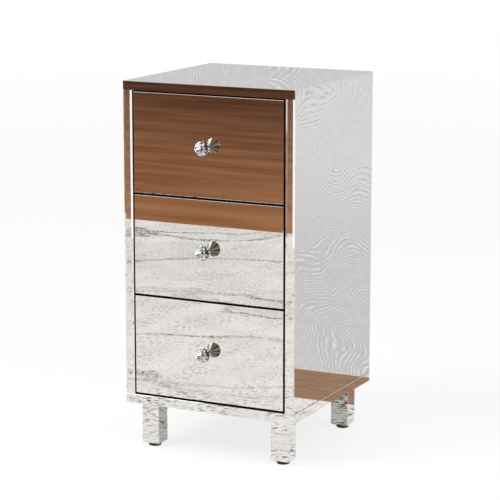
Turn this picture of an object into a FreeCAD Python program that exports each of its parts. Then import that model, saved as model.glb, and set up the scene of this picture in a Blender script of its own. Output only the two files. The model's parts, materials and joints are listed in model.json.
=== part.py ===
import FreeCAD, Part
import math
import os

# Chest of three drawers, clad in mirror panes and standing on four square legs.
# Lengths are in millimetres: +X is the viewer's right, +Y the back and +Z up.
# The origin lies on the floor, in the middle of the chest's overall box with its knobs.
# The drawers pull out towards -Y.

# Case
case_width = 400.0
case_depth = 400.0
overall_height = 800.0
side_board = 18.0
top_board = 15.0
base_board = 20.0
back_panel = 3.0
back_recess = 2.0
rabbet = 6.0
rabbet_clearance = 0.3
rail_thickness = 15.0
rail_depth = 60.0
rail_setback = 2.0

# Mirror panes
pane = 3.0
top_pane = 4.0
pane_arris = 0.3
drawer_bevel_width = 0.6
drawer_bevel_depth = 0.3
stile_bevel_width = 4.4
stile_bevel_depth = 1.3
pane_seam = 0.4

# Legs and levelling feet
leg_height = 93.0
leg_side = 40.0
leg_inset = 25.0
foot_height = 9.0
foot_radius = 14.0
foot_round = 3.0
foot_gap = 0.2
stem_radius = 3.0
stem_length = 22.0
stem_clearance = 0.1
stem_room = 4.0
insert_radius = 6.0
insert_length = 16.0
insert_clearance = 0.05

# Drawers
drawer_names = ("bottom", "middle", "top")
drawer_gap = 5.2
drawer_top_gap = 3.1
drawer_side_gap = 4.2
drawer_front_board = 15.0
drawer_wall = 12.0
drawer_bottom = 5.0
drawer_bottom_rise = 10.0
groove_depth = 6.0
groove_clearance = 0.2
box_lift = 12.0
box_headroom = 30.0
edge_ease = 1.0

# Ball-bearing slides
slide_thickness = 12.7
slide_height = 45.0
slide_sheet = 1.2
slide_setback = 1.0
slide_rear_clearance = 26.0
slide_running_gap = 0.4
cabinet_reach = 10.5
middle_reach = 6.8
ball_gap = 3.1
retainer_width = 4.0
retainer_clearance = 0.3
retainer_end = 6.0

# Knobs
knob_sides = 16
crystal_radius = 16.0
crystal_tip_radius = 4.0
crystal_crown_radius = 13.0
crystal_table_radius = 8.1
pavilion_height = 16.0
girdle_height = 1.5
crown_rise = 4.0
table_rise = 3.5
crystal_clearance = 0.1
cup_foot_radius = 7.0
cup_foot_height = 2.0
cup_neck_radius = 4.6
cup_neck_length = 6.0
cup_floor = 2.0
cup_wall = 0.8
cup_rim_drop = 0.5

# Fasteners
dowel_radius = 4.0
dowel_length = 30.0
top_dowel_bite = 8.0
rail_dowel_bite = 10.0
fastener_clearance = 0.1
back_screw_radius = 1.25
back_screw_head_radius = 3.0
back_screw_head_height = 1.4
back_screw_bite = 9.0
base_screw_radius = 2.5
base_screw_head_radius = 5.0
base_screw_head_height = 3.0
base_screw_bite = 32.0
slide_screw_radius = 1.75
slide_screw_head_radius = 3.5
slide_screw_head_height = 1.6
slide_screw_bite = 8.5
box_screw_radius = 1.75
box_screw_head_radius = 3.5
box_screw_head_height = 1.8
corner_screw_bite = 22.0
front_screw_bite = 10.0
knob_screw_radius = 2.0
knob_screw_head_radius = 4.0
knob_screw_head_height = 2.4
knob_screw_bite = 7.0
leg_bolt_radius = 4.0
leg_bolt_head_radius = 8.0
leg_bolt_head_height = 5.0
leg_bolt_bite = 30.0
cut_overrun = 1.0

# Where fasteners stand along the pieces that carry them
board_dowel_shares = (-0.32, 0.32)
rail_dowel_shares = (-0.25, 0.25)
back_screw_shares = (-0.42, -0.14, 0.14, 0.42)
slide_screw_shares = (0.1, 0.5, 0.9)
corner_screw_shares = (0.18, 0.86)
front_screw_width_shares = (-0.62, 0.62)
front_screw_height_shares = (0.25, 0.75)
screw_head_flat_share = 0.55
screw_head_rim_share = 0.4

# Places worked out from the sizes above
Vector = FreeCAD.Vector
RIGHT = Vector(1, 0, 0)
BACK = Vector(0, 1, 0)
UP = Vector(0, 0, 1)
LEFT = -RIGHT
FRONT = -BACK
DOWN = -UP

knob_projection = (
    cup_foot_height + cup_neck_length + cup_floor + pavilion_height + girdle_height + crown_rise + table_rise
)
half_width = case_width / 2
front_y = (knob_projection - case_depth) / 2
back_y = front_y + case_depth
board_front_y = front_y + pane
panel_front_y = back_y - back_recess - back_panel
board_half = half_width - pane
inner_half = board_half - side_board
base_low = foot_height + leg_height
base_high = base_low + base_board
top_high = overall_height - top_pane
top_low = top_high - top_board

drawer_count = len(drawer_names)
front_height = (top_low - base_high - drawer_top_gap) / drawer_count - drawer_gap
front_pitch = front_height + drawer_gap
front_half = inner_half - drawer_side_gap
box_front_y = board_front_y + drawer_front_board
box_half = inner_half - slide_thickness
box_height = front_height - box_lift - box_headroom
slide_front_y = box_front_y + slide_setback
slide_back_y = panel_front_y - slide_rear_clearance
slide_length = slide_back_y - slide_front_y
box_back_y = slide_back_y

cabinet_half = slide_height / 2
middle_half = cabinet_half - slide_sheet - ball_gap
member_half = middle_half - slide_sheet - ball_gap
middle_offset = slide_sheet + slide_screw_head_height + slide_running_gap
member_reach = slide_thickness - middle_offset - slide_sheet - slide_running_gap
retainer_centre = middle_offset + middle_reach / 2


def block(x_span, y_span, z_span):
    """A square-edged board between the given limits."""
    corner = Vector(x_span[0], y_span[0], z_span[0])
    return Part.makeBox(x_span[1] - x_span[0], y_span[1] - y_span[0], z_span[1] - z_span[0], corner)


def mirrored_span(side, near, far):
    """The X limits of a piece that lies from near to far on the given side of the middle."""
    return tuple(sorted((side * near, side * far)))


def prism(points, run):
    """A straight piece of the given section."""
    return Part.Face(Part.makePolygon(points + points[:1])).extrude(run)


def ringed_solid(rings):
    """A closed solid with flat faces between rings of points and a flat face at each end."""
    loops = [rings[0], rings[-1]]
    for low, high in zip(rings, rings[1:]):
        for index in range(len(low)):
            after = (index + 1) % len(low)
            loops.append([low[index], low[after], high[after], high[index]])
    faces = [Part.Face(Part.makePolygon(loop + loop[:1])) for loop in loops]
    return outward(Part.Solid(Part.Shell(faces)))


def outward(solid):
    """The same solid with its faces turned outwards."""
    if solid.Volume < 0:
        solid.reverse()
    return solid


def turned(profile, start, axis):
    """A round piece from a profile of radii and distances along the axis."""
    side = UP if abs(axis.dot(UP)) < abs(axis.dot(BACK)) + abs(axis.dot(RIGHT)) else RIGHT
    points = [start + side * radius + axis * along for radius, along in profile]
    face = Part.Face(Part.makePolygon(points + points[:1]))
    return outward(face.revolve(start, axis, 360).Solids[0])


def rod(start, axis, radius, length):
    return Part.makeCylinder(radius, length, start, axis)


def cut_away(solid, tools):
    """The solid without the tools' space."""
    return solid.cut(tools).Solids[0]


def ground_pane(corner, right, up, out, width, height, thickness, ground=(pane_arris, pane_arris)):
    """A mirror pane whose outer edges are ground back; corner is its lower left corner at the back."""
    ground_width, ground_depth = ground

    def outline(inset, rise):
        corners = (
            (inset, inset),
            (width - inset, inset),
            (width - inset, height - inset),
            (inset, height - inset),
        )
        return [corner + right * across + up * high + out * rise for across, high in corners]

    return ringed_solid([outline(0, 0), outline(0, thickness - ground_depth), outline(ground_width, thickness)])


def bevelled_strip(corner, width, height):
    """An upright mirror strip that faces the front, with a bevel down each long edge."""
    shoulder = pane - stile_bevel_depth
    section = (
        (0, 0),
        (width, 0),
        (width, shoulder),
        (width - stile_bevel_width, pane),
        (stile_bevel_width, pane),
        (0, shoulder),
    )
    points = [corner + RIGHT * across + FRONT * out for across, out in section]
    return outward(prism(points, UP * height))


def screw(seat, axis, length, radius, head_radius, head_height):
    """A pan-head screw whose head stands on the seat; the shank points along the axis."""
    profile = [
        (0, -head_height),
        (head_radius * screw_head_flat_share, -head_height),
        (head_radius, -head_height * screw_head_rim_share),
        (head_radius, 0),
        (radius, 0),
        (radius, length - radius),
        (0, length),
    ]
    return turned(profile, seat, axis)


def screw_hole(seat, axis, length, radius):
    """The hole that a screw's shank passes through."""
    start = seat - axis * cut_overrun
    return rod(start, axis, radius + fastener_clearance, length + cut_overrun + fastener_clearance)


def dowel(middle, axis):
    return rod(middle - axis * (dowel_length / 2), axis, dowel_radius, dowel_length)


def dowel_hole(middle, axis):
    hole_length = dowel_length + 2 * fastener_clearance
    start = middle - axis * (hole_length / 2)
    return rod(start, axis, dowel_radius + fastener_clearance, hole_length)


def write_node(name, solids):
    shape = Part.makeCompound(solids) if len(solids) > 1 else solids[0]
    shape.exportStep(os.path.join("parts", name + ".step"))
    print(name, len(solids), "solids", round(sum(solid.Volume for solid in solids)), "cubic millimetres")


# Places of the fasteners

def back_screw_seats():
    """Screws along the four edges of the back panel."""
    seat_y = panel_front_y + back_panel
    seats = []
    middle_z = (base_high + top_low) / 2
    for share in back_screw_shares:
        for side in (-1, 1):
            x = side * (inner_half + rabbet / 2)
            seats.append(Vector(x, seat_y, middle_z + share * (top_low - base_high)))
        for z in (base_high - rabbet / 2, top_low + rabbet / 2):
            seats.append(Vector(share * 2 * inner_half, seat_y, z))
    return seats


def top_dowel_places():
    middle_y = (board_front_y + panel_front_y) / 2
    z = top_low + top_dowel_bite - dowel_length / 2
    return [
        Vector(side * (inner_half + side_board / 2), middle_y + share * (panel_front_y - board_front_y), z)
        for side in (-1, 1)
        for share in board_dowel_shares
    ]


def rail_height(index):
    """The middle of the gap above the drawer with this index."""
    return base_high + drawer_gap / 2 + (index + 1) * front_pitch


def rail_dowel_places(index):
    middle_y = box_front_y + rail_setback + rail_depth / 2
    x = inner_half + rail_dowel_bite - dowel_length / 2
    return [
        Vector(side * x, middle_y + share * rail_depth, rail_height(index))
        for side in (-1, 1)
        for share in rail_dowel_shares
    ]


def base_screw_seats():
    """Screws from under the base board up into the side boards, with their heads let in flush."""
    middle_y = (board_front_y + panel_front_y) / 2
    return [
        Vector(
            side * (inner_half + side_board / 2),
            middle_y + share * (panel_front_y - board_front_y),
            base_low + base_screw_head_height,
        )
        for side in (-1, 1)
        for share in board_dowel_shares
    ]


def box_low_of(index):
    return base_high + drawer_gap + index * front_pitch + box_lift


def slide_height_of(index):
    """The height of a slide's middle line."""
    return box_low_of(index) + box_height / 2


def slide_screw_seats(index, side, depth):
    """Screw seats on a slide's web, at this depth from the case's inner wall."""
    x = side * (inner_half - depth)
    return [
        Vector(x, slide_front_y + share * slide_length, slide_height_of(index))
        for share in slide_screw_shares
    ]


def leg_places():
    """Each leg's name and the middle of its foot print."""
    reach_x = half_width - leg_inset - leg_side / 2
    reach_y = leg_inset + leg_side / 2
    places = {}
    for depth_name, y in (("front", front_y + reach_y), ("back", back_y - reach_y)):
        for side_name, x in (("left", -reach_x), ("right", reach_x)):
            places[depth_name + "_" + side_name] = Vector(x, y, 0)
    return places


# Case

base_screw_length = base_board - base_screw_head_height + base_screw_bite
slide_screw_length = slide_sheet + slide_screw_bite
back_screw_length = back_panel + back_screw_bite
leg_bolt_length = base_board + leg_bolt_bite
rail_indices = range(drawer_count - 1)


def rabbet_space():
    """The step round the back of the case that takes the back panel."""
    return block(
        (-inner_half - rabbet, inner_half + rabbet),
        (panel_front_y, back_y + cut_overrun),
        (base_high - rabbet, top_low + rabbet),
    )


def back_screw_holes():
    return [screw_hole(seat, FRONT, back_screw_length, back_screw_radius) for seat in back_screw_seats()]


def top_dowel_holes():
    return [dowel_hole(place, UP) for place in top_dowel_places()]


def base_screw_holes():
    return [screw_hole(seat, UP, base_screw_length, base_screw_radius) for seat in base_screw_seats()]


def build_top_board():
    board = block((-board_half, board_half), (board_front_y, back_y), (top_low, top_high))
    return cut_away(board, [rabbet_space()] + back_screw_holes() + top_dowel_holes())


def build_base_board():
    board = block((-board_half, board_half), (board_front_y, back_y), (base_low, base_high))
    head_pockets = [
        rod(seat - UP * (base_screw_head_height + cut_overrun), UP,
            base_screw_head_radius + fastener_clearance, base_screw_head_height + cut_overrun)
        for seat in base_screw_seats()
    ]
    bolt_holes = [
        screw_hole(place + UP * base_high, DOWN, leg_bolt_length, leg_bolt_radius)
        for place in leg_places().values()
    ]
    return cut_away(board, [rabbet_space()] + back_screw_holes() + base_screw_holes() + head_pockets + bolt_holes)


def build_side_board(side):
    board = block(mirrored_span(side, inner_half, board_half), (board_front_y, back_y), (base_high, top_low))
    tools = [rabbet_space()] + back_screw_holes() + top_dowel_holes() + base_screw_holes()
    for index in rail_indices:
        tools += [dowel_hole(place, RIGHT) for place in rail_dowel_places(index)]
    for index in range(drawer_count):
        for seat in slide_screw_seats(index, side, slide_sheet):
            tools.append(screw_hole(seat, RIGHT * side, slide_screw_length, slide_screw_radius))
    return cut_away(board, tools)


def build_back_panel():
    half = inner_half + rabbet - rabbet_clearance
    low = base_high - rabbet + rabbet_clearance
    high = top_low + rabbet - rabbet_clearance
    panel = block((-half, half), (panel_front_y, panel_front_y + back_panel), (low, high))
    return cut_away(panel, back_screw_holes())


def build_rail(index):
    start_y = box_front_y + rail_setback
    height = rail_height(index)
    rail = block(
        (-inner_half, inner_half),
        (start_y, start_y + rail_depth),
        (height - rail_thickness / 2, height + rail_thickness / 2),
    )
    return cut_away(rail, [dowel_hole(place, RIGHT) for place in rail_dowel_places(index)])


def build_case_boards():
    write_node("top_board", [build_top_board()])
    write_node("base_board", [build_base_board()])
    write_node("left_side_board", [build_side_board(-1)])
    write_node("right_side_board", [build_side_board(1)])
    write_node("back_panel", [build_back_panel()])
    for index, name in zip(rail_indices, ("lower_rail", "upper_rail")):
        write_node(name, [build_rail(index)])


def build_case_fasteners():
    dowels = [dowel(place, UP) for place in top_dowel_places()]
    for index in rail_indices:
        dowels += [dowel(place, RIGHT) for place in rail_dowel_places(index)]
    write_node("case_dowels", dowels)
    write_node("base_screws", [
        screw(seat, UP, base_screw_length, base_screw_radius, base_screw_head_radius, base_screw_head_height)
        for seat in base_screw_seats()
    ])
    write_node("back_panel_screws", [
        screw(seat, FRONT, back_screw_length, back_screw_radius, back_screw_head_radius, back_screw_head_height)
        for seat in back_screw_seats()
    ])


def build_case_mirrors():
    depth = back_y - board_front_y
    side_low = base_high + pane_seam
    top_corner = Vector(-half_width, board_front_y, top_high)
    write_node("top_mirror", [ground_pane(top_corner, RIGHT, BACK, UP, case_width, depth, top_pane)])

    strip_height = overall_height - pane_arris - top_low
    strip_corner = Vector(-half_width, board_front_y, top_low)
    write_node("top_front_mirror", [
        ground_pane(strip_corner, RIGHT, UP, FRONT, case_width, strip_height, pane)
    ])
    base_corner = Vector(-half_width, board_front_y, base_low)
    write_node("base_front_mirror", [
        ground_pane(base_corner, RIGHT, UP, FRONT, case_width, base_board, pane)
    ])

    stile_width = half_width - inner_half
    stile_height = top_low - base_high - 2 * pane_seam
    for name, x in (("left", -half_width), ("right", inner_half)):
        corner = Vector(x, board_front_y, side_low)
        write_node(name + "_stile_mirror", [bevelled_strip(corner, stile_width, stile_height)])

    side_height = top_high - side_low
    for name, side, start_y, along in (("left", -1, back_y, FRONT), ("right", 1, board_front_y, BACK)):
        out = RIGHT * side
        x = side * board_half
        side_pane = ground_pane(Vector(x, start_y, side_low), along, UP, out, depth, side_height, pane)
        write_node(name + "_side_mirror", [side_pane])
        base_strip = ground_pane(Vector(x, start_y, base_low), along, UP, out, depth, base_board, pane)
        write_node("base_" + name + "_mirror", [base_strip])


# Legs and feet

def build_leg_core(place):
    half = leg_side / 2 - pane
    core = block(
        (place.x - half, place.x + half),
        (place.y - half, place.y + half),
        (foot_height, base_low),
    )
    start = place + UP * (foot_height - cut_overrun)
    insert_bore = rod(start, UP, insert_radius + insert_clearance, insert_length + cut_overrun)
    stem_bore = rod(start, UP, stem_radius + stem_clearance, stem_length + stem_room + cut_overrun)
    bolt_bore = screw_hole(place + UP * base_high, DOWN, leg_bolt_length, leg_bolt_radius)
    return cut_away(core, [insert_bore, stem_bore, bolt_bore])


def build_leg_mirrors(place):
    """Front and back strips over the leg's full width, with the side strips between them."""
    half = leg_side / 2
    core_half = half - pane
    low = place + UP * foot_height
    strips = (
        (low + LEFT * half + FRONT * core_half, RIGHT, FRONT, leg_side),
        (low + RIGHT * half + BACK * core_half, LEFT, BACK, leg_side),
        (low + RIGHT * core_half + FRONT * core_half, BACK, RIGHT, 2 * core_half),
        (low + LEFT * core_half + BACK * core_half, FRONT, LEFT, 2 * core_half),
    )
    return [
        ground_pane(corner, right, UP, out, width, leg_height, pane)
        for corner, right, out, width in strips
    ]


def build_foot(place):
    """A moulded pad with a rounded lower edge, and the threaded stem that stands on it."""
    pad_height = foot_height - foot_gap
    pad = rod(place, UP, foot_radius, pad_height)
    lower_edges = [edge for edge in pad.Edges if edge.BoundBox.ZMax < pad_height / 2]
    pad = pad.makeFillet(foot_round, lower_edges).Solids[0]
    stem = rod(place + UP * pad_height, UP, stem_radius, stem_length + foot_gap)
    return [pad, stem]


def build_insert(place):
    start = place + UP * foot_height
    tube = rod(start, UP, insert_radius, insert_length)
    bore = rod(start - UP * cut_overrun, UP, stem_radius + stem_clearance, insert_length + 2 * cut_overrun)
    return cut_away(tube, [bore])


def build_legs():
    places = leg_places()
    write_node("leg_cores", [build_leg_core(place) for place in places.values()])
    write_node("foot_inserts", [build_insert(place) for place in places.values()])
    write_node("leg_bolts", [
        screw(place + UP * base_high, DOWN, leg_bolt_length,
              leg_bolt_radius, leg_bolt_head_radius, leg_bolt_head_height)
        for place in places.values()
    ])
    for name, place in places.items():
        write_node(name + "_leg_mirrors", build_leg_mirrors(place))
        write_node(name + "_foot", build_foot(place))


# Slides

def channel(index, side, web_depth, turn, reach, half):
    """A rolled slide member: a web at this depth from the case wall, with two flanges turned one way."""
    section = (
        (0, -half),
        (reach, -half),
        (reach, slide_sheet - half),
        (slide_sheet, slide_sheet - half),
        (slide_sheet, half - slide_sheet),
        (reach, half - slide_sheet),
        (reach, half),
        (0, half),
    )
    points = [
        Vector(side * (inner_half - web_depth - turn * across), slide_front_y, slide_height_of(index) + high)
        for across, high in section
    ]
    return prism(points, BACK * slide_length)


def build_cabinet_member(index, side):
    member = channel(index, side, 0, 1, cabinet_reach, cabinet_half)
    seats = slide_screw_seats(index, side, slide_sheet)
    holes = [screw_hole(seat, RIGHT * side, slide_screw_length, slide_screw_radius) for seat in seats]
    return cut_away(member, holes)


def build_drawer_member(index, side):
    member = channel(index, side, slide_thickness, -1, member_reach, member_half)
    seats = slide_screw_seats(index, side, slide_thickness - slide_sheet)
    holes = [screw_hole(seat, LEFT * side, slide_screw_length, slide_screw_radius) for seat in seats]
    return cut_away(member, holes)


def build_retainers(index, side):
    """Strips that hold the balls: the outer pair in the rear half, the inner pair in the front half."""
    middle_y = (slide_front_y + slide_back_y) / 2
    x_span = mirrored_span(
        side,
        inner_half - retainer_centre - retainer_width / 2,
        inner_half - retainer_centre + retainer_width / 2,
    )
    height = slide_height_of(index)
    strips = []
    for inner_face, y_span in (
        (middle_half, (middle_y, slide_back_y - retainer_end)),
        (member_half, (slide_front_y + retainer_end, middle_y)),
    ):
        low = inner_face + retainer_clearance
        high = inner_face + ball_gap - retainer_clearance
        strips.append(block(x_span, y_span, (height + low, height + high)))
        strips.append(block(x_span, y_span, (height - high, height - low)))
    return strips


def build_slides():
    for index, name in enumerate(drawer_names):
        middle = []
        for side in (-1, 1):
            middle.append(channel(index, side, middle_offset, 1, middle_reach, middle_half))
            middle += build_retainers(index, side)
        write_node(name + "_slide_middle_members", middle)
        write_node(name + "_slide_drawer_members", [build_drawer_member(index, side) for side in (-1, 1)])
    pairs = [(index, side) for index in range(drawer_count) for side in (-1, 1)]
    write_node("slide_cabinet_members", [build_cabinet_member(index, side) for index, side in pairs])
    write_node("slide_cabinet_screws", [
        screw(seat, RIGHT * side, slide_screw_length,
              slide_screw_radius, slide_screw_head_radius, slide_screw_head_height)
        for index, side in pairs
        for seat in slide_screw_seats(index, side, slide_sheet)
    ])


# Drawers

front_screw_length = drawer_wall + front_screw_bite
corner_screw_length = drawer_wall + corner_screw_bite
knob_screw_length = drawer_wall + drawer_front_board + pane + knob_screw_bite


def knob_place(index):
    """The middle of a drawer front, on the face of its pane."""
    return Vector(0, front_y, base_high + drawer_gap + index * front_pitch + front_height / 2)


def knob_screw_seat(index):
    place = knob_place(index)
    return Vector(place.x, box_front_y + drawer_wall, place.z)


def knob_screw_hole(index):
    return screw_hole(knob_screw_seat(index), FRONT, knob_screw_length, knob_screw_radius)


def front_screw_seats(index):
    low = box_low_of(index)
    return [
        Vector(across * box_half, box_front_y + drawer_wall, low + high * box_height)
        for across in front_screw_width_shares
        for high in front_screw_height_shares
    ]


def corner_screw_seats(index, side):
    """Screws through a side wall into the ends of the front and back walls."""
    low = box_low_of(index)
    return [
        Vector(side * box_half, y, low + share * box_height)
        for y in (box_front_y + drawer_wall / 2, box_back_y - drawer_wall / 2)
        for share in corner_screw_shares
    ]


def drawer_screw_holes(index):
    holes = [knob_screw_hole(index)]
    holes += [screw_hole(seat, FRONT, front_screw_length, box_screw_radius) for seat in front_screw_seats(index)]
    for side in (-1, 1):
        inward = LEFT * side
        for seat in corner_screw_seats(index, side):
            holes.append(screw_hole(seat, inward, corner_screw_length, box_screw_radius))
        for seat in slide_screw_seats(index, side, slide_thickness - slide_sheet):
            holes.append(screw_hole(seat, inward, slide_screw_length, slide_screw_radius))
    return holes


def eased_wall(corner, across, thickness, along, length):
    """A drawer wall with its two upper edges eased."""
    section = (
        (0, 0),
        (thickness, 0),
        (thickness, box_height - edge_ease),
        (thickness - edge_ease, box_height),
        (edge_ease, box_height),
        (0, box_height - edge_ease),
    )
    return prism([corner + across * wide + UP * high for wide, high in section], along * length)


def bottom_panel_space(index, clearance):
    """The drawer's bottom panel, or with a clearance the groove that takes it."""
    half = box_half - drawer_wall + groove_depth
    low = box_low_of(index) + drawer_bottom_rise
    return block(
        (-half, half),
        (box_front_y + drawer_wall - groove_depth, box_back_y - drawer_wall + groove_depth),
        (low - clearance, low + drawer_bottom + clearance),
    )


def build_box(index):
    low = box_low_of(index)
    inner = box_half - drawer_wall
    length = box_back_y - box_front_y
    walls = [
        eased_wall(Vector(-box_half, box_front_y, low), RIGHT, drawer_wall, BACK, length),
        eased_wall(Vector(inner, box_front_y, low), RIGHT, drawer_wall, BACK, length),
        eased_wall(Vector(-inner, box_front_y, low), BACK, drawer_wall, RIGHT, 2 * inner),
        eased_wall(Vector(-inner, box_back_y - drawer_wall, low), BACK, drawer_wall, RIGHT, 2 * inner),
    ]
    tools = [bottom_panel_space(index, groove_clearance)] + drawer_screw_holes(index)
    return [cut_away(wall, tools) for wall in walls]


def build_drawer_screws(index):
    screws = [screw(knob_screw_seat(index), FRONT, knob_screw_length,
                    knob_screw_radius, knob_screw_head_radius, knob_screw_head_height)]
    box_sizes = (box_screw_radius, box_screw_head_radius, box_screw_head_height)
    slide_sizes = (slide_screw_radius, slide_screw_head_radius, slide_screw_head_height)
    screws += [screw(seat, FRONT, front_screw_length, *box_sizes) for seat in front_screw_seats(index)]
    for side in (-1, 1):
        inward = LEFT * side
        for seat in corner_screw_seats(index, side):
            screws.append(screw(seat, inward, corner_screw_length, *box_sizes))
        for seat in slide_screw_seats(index, side, slide_thickness - slide_sheet):
            screws.append(screw(seat, inward, slide_screw_length, *slide_sizes))
    return screws


def facet_ring(place, along, radius, turn_share):
    """A ring of corners round the knob's axis, at this distance from the pane."""
    ring = []
    for corner in range(knob_sides):
        angle = 2 * math.pi * (corner + turn_share) / knob_sides
        ring.append(place + FRONT * along + RIGHT * (radius * math.cos(angle)) + UP * (radius * math.sin(angle)))
    return ring


def facet_band(low, high):
    """Triangles between two rings that are turned by half a facet; the upper ring is the turned one."""
    loops = []
    for index in range(knob_sides):
        after = (index + 1) % knob_sides
        loops.append([low[index], low[after], high[index]])
        loops.append([low[after], high[after], high[index]])
    return loops


def quad_band(low, high):
    loops = []
    for index in range(knob_sides):
        after = (index + 1) % knob_sides
        loops.append([low[index], low[after], high[after], high[index]])
    return loops


crystal_tip_along = cup_foot_height + cup_neck_length + cup_floor
girdle_along = crystal_tip_along + pavilion_height
crown_along = girdle_along + girdle_height + crown_rise
half_facet_share = 0.5


def build_crystal(place):
    """A cut crystal: tapered pavilion, girdle, a crown of triangles and a flat table."""
    tip = facet_ring(place, crystal_tip_along, crystal_tip_radius, 0)
    girdle_back = facet_ring(place, girdle_along, crystal_radius, 0)
    girdle_front = facet_ring(place, girdle_along + girdle_height, crystal_radius, 0)
    crown = facet_ring(place, crown_along, crystal_crown_radius, half_facet_share)
    table = facet_ring(place, crown_along + table_rise, crystal_table_radius, 2 * half_facet_share)
    loops = [tip, table]
    loops += quad_band(tip, girdle_back)
    loops += quad_band(girdle_back, girdle_front)
    loops += facet_band(girdle_front, crown)
    loops += facet_band(crown, table)
    faces = [Part.Face(Part.makePolygon(loop + loop[:1])) for loop in loops]
    return outward(Part.Solid(Part.Shell(faces)))


def pavilion_radius(along):
    share = (along - crystal_tip_along) / pavilion_height
    return crystal_tip_radius + (crystal_radius - crystal_tip_radius) * share


def build_knob_cup(index):
    """A metal cup with flat sides that holds the crystal, on a turned neck and foot."""
    place = knob_place(index)
    rim_along = girdle_along - cup_rim_drop
    floor_along = cup_foot_height + cup_neck_length
    seat_radius = crystal_tip_radius + crystal_clearance
    rim_radius = pavilion_radius(rim_along) + crystal_clearance
    shell = ringed_solid([
        facet_ring(place, floor_along, cup_neck_radius, 0),
        facet_ring(place, crystal_tip_along, seat_radius + cup_wall, 0),
        facet_ring(place, rim_along, rim_radius + cup_wall, 0),
    ])
    foot = turned(
        [
            (0, 0),
            (cup_foot_radius, 0),
            (cup_foot_radius, cup_foot_height / 2),
            (cup_neck_radius, cup_foot_height),
            (cup_neck_radius, floor_along + cup_floor / 2),
            (0, floor_along + cup_floor / 2),
        ],
        place,
        FRONT,
    )
    past_rim = rim_along + cut_overrun
    crystal_space = ringed_solid([
        facet_ring(place, crystal_tip_along, seat_radius, 0),
        facet_ring(place, past_rim, pavilion_radius(past_rim) + crystal_clearance, 0),
    ])
    return cut_away(shell.fuse(foot), [crystal_space, knob_screw_hole(index)])


def build_drawers():
    for index, name in enumerate(drawer_names):
        low = base_high + drawer_gap + index * front_pitch
        holes = drawer_screw_holes(index)
        board = block((-front_half, front_half), (board_front_y, box_front_y), (low, low + front_height))
        corner = Vector(-front_half, board_front_y, low)
        ground = (drawer_bevel_width, drawer_bevel_depth)
        mirror = ground_pane(corner, RIGHT, UP, FRONT, 2 * front_half, front_height, pane, ground)
        write_node(name + "_drawer_front_board", [cut_away(board, holes)])
        write_node(name + "_drawer_front_mirror", [cut_away(mirror, [knob_screw_hole(index)])])
        write_node(name + "_drawer_box", build_box(index))
        write_node(name + "_drawer_bottom", [bottom_panel_space(index, 0)])
        write_node(name + "_drawer_screws", build_drawer_screws(index))
        write_node(name + "_knob_crystal", [build_crystal(knob_place(index))])
        write_node(name + "_knob_cup", [build_knob_cup(index)])


os.makedirs("parts", exist_ok=True)
build_case_boards()
build_case_mirrors()
build_case_fasteners()
build_legs()
build_slides()
build_drawers()
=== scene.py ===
# %% [markdown]
# # A mirrored chest of three drawers
# The chest is a plain box of black-painted boards, clad all over in bevelled mirror glass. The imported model
# already has every board, pane, slide and screw in its place, in metres. This lesson loads that model as a
# fixed frame, gives each piece its finish, and swaps the small fittings for finer ones. Nothing in the
# frame is moved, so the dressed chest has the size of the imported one.

import json
import math
from functools import partial

import bmesh
import bpy
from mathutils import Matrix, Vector


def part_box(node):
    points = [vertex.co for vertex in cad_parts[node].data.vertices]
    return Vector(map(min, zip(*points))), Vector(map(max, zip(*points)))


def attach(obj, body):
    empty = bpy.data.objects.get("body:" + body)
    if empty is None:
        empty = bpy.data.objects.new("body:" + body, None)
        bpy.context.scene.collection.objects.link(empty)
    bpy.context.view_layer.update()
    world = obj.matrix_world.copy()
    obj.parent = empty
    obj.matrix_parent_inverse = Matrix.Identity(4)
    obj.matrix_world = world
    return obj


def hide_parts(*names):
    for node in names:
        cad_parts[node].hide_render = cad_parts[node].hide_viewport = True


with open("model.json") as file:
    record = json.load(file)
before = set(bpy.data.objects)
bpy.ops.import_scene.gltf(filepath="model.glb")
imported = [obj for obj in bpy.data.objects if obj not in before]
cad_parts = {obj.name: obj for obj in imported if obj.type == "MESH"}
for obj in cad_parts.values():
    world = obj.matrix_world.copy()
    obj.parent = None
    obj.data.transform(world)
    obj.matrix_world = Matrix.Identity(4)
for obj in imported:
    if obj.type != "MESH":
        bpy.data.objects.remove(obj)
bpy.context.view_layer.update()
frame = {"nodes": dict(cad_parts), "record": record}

# %% [markdown]
# ## The camera
# The picture is taken from the right of the front and a little above, with a long lens, so that upright
# edges stay almost parallel. A camera could be placed by eye. Here it is set by an angle round the chest,
# an angle above the floor and a distance, because those three numbers say plainly where the photographer
# stood.

# %% Set up the camera
sight_point = Vector((-0.00084, 0.0175, 0.41938))
sight_turn = math.radians(26.423)
sight_rise = math.radians(11.134)
sight_reach = 4.44107
image_pixels = 500
lens_pixels = 2037.565
sensor_width = 36.0
sight_back = Vector((math.sin(sight_turn) * math.cos(sight_rise),
                     -math.cos(sight_turn) * math.cos(sight_rise),
                     math.sin(sight_rise)))


def put_in_scene(name, data):
    made = bpy.data.objects.new(name, data)
    bpy.context.scene.collection.objects.link(made)
    return made


camera_data = bpy.data.cameras.new("studio_camera")
camera_data.sensor_width = sensor_width
camera_data.lens = sensor_width * lens_pixels / image_pixels
camera_data.clip_end = 200.0
camera = put_in_scene("studio_camera", camera_data)
camera.location = sight_point + sight_back * sight_reach
camera.rotation_euler = sight_back.to_track_quat("Z", "Y").to_euler()
bpy.context.scene.camera = camera
print("camera at", [round(value, 3) for value in camera.location], "lens", round(camera_data.lens, 1), "mm")

# %% [markdown]
# ## Short words for nodes
# Every finish below is a small net of nodes. Written out one by one they would take many lines, so a few
# helpers come first. One adds a node and fills its sockets: a value that is itself a socket is linked, and
# any other value is written on the socket. A socket knows its net, so the other helpers needn't be told it.

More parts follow.
